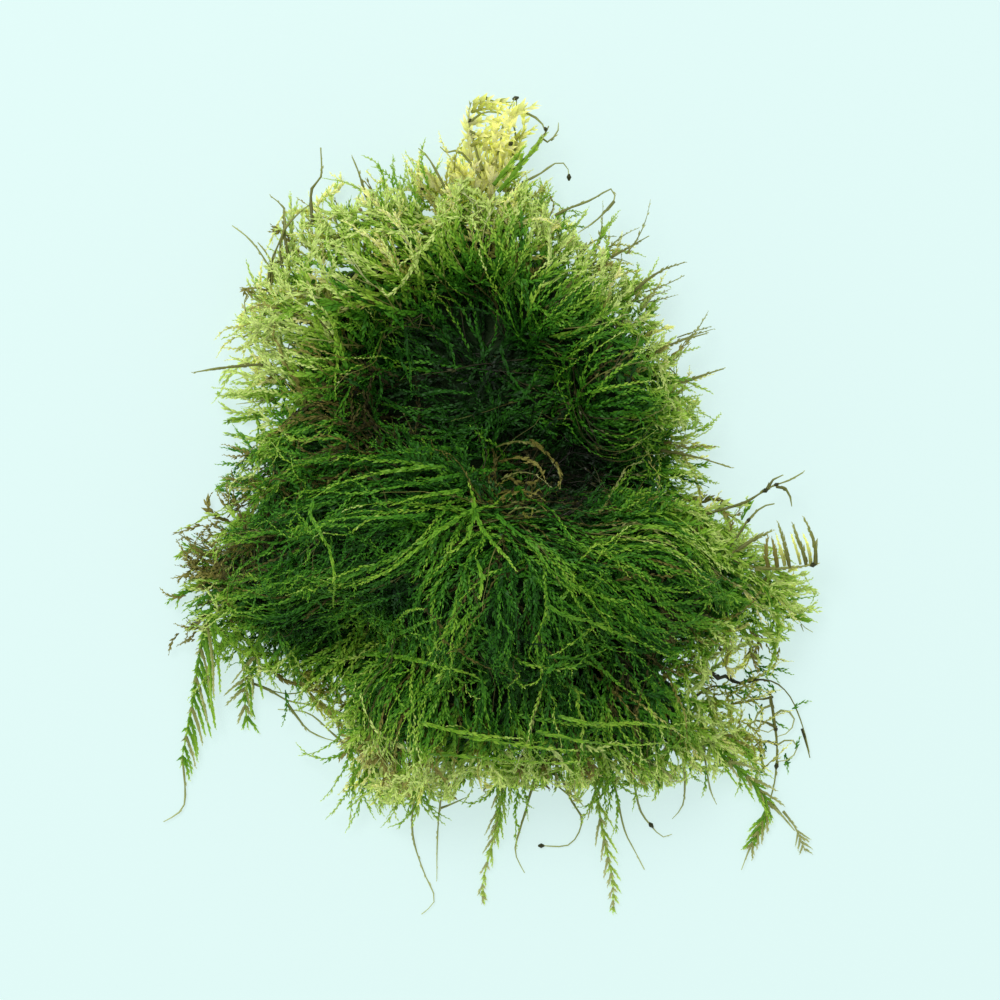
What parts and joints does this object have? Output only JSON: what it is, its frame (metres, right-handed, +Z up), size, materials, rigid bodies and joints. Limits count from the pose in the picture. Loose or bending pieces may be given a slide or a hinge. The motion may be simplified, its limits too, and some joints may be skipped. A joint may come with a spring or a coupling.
{
  "type": "moss clump",
  "caption": "Loose clump of branching water moss with a hollow in its crown, a pale tuft of dead tips and trailing fronds and strands, lying flat.",
  "frame": {"origin": "under the middle of the clump, on the surface that it lies on", "axes": "+X to the right and +Y to the end with the pale tuft, seen from above; +Z up"},
  "size_m": [0.0859, 0.1067, 0.0323],
  "materials": {
    "moss_green": "damp leafy shoots, mid to dark green",
    "shoot_green": "fresh leafy shoots, bright green",
    "bare_stem": "bare brown-green stems, satin",
    "pale_straw": "dead straw-coloured shoots"
  },
  "bodies": {
    "root": {"moss_cushion": "moss_green", "frond_left_inner": "shoot_green", "frond_left_trailing": "shoot_green", "frond_right_comb": "shoot_green", "frond_right_low": "shoot_green", "pale_tuft": "pale_straw", "shoot_left_spike": "shoot_green", "shoot_right_fan_1": "shoot_green", "shoot_right_fan_2": "shoot_green", "shoot_right_fan_3": "shoot_green", "shoot_right_fan_4": "shoot_green", "shoot_right_fan_5": "shoot_green", "shoot_right_thick": "shoot_green", "shoot_top_green": "shoot_green", "shoot_upper_left_1": "shoot_green", "shoot_upper_left_2": "shoot_green", "shoot_upper_left_3": "shoot_green", "sprig_lower_right": "shoot_green", "stem_dark_arch": "bare_stem", "stem_dark_drop": "bare_stem", "stem_forked_right": "bare_stem", "stem_left_looped": "bare_stem", "stem_left_low": "bare_stem", "stem_right_upper": "bare_stem", "stem_top_curl": "bare_stem", "stem_top_hook": "bare_stem", "stem_upper_left_curl": "bare_stem", "strand_bottom_1": "bare_stem", "strand_bottom_10": "bare_stem", "strand_bottom_2": "bare_stem", "strand_bottom_3": "shoot_green", "strand_bottom_4": "bare_stem", "strand_bottom_5": "bare_stem", "strand_bottom_6": "shoot_green", "strand_bottom_7": "bare_stem", "strand_bottom_8": "bare_stem", "strand_bottom_9": "bare_stem"}
  },
  "joints": []
}
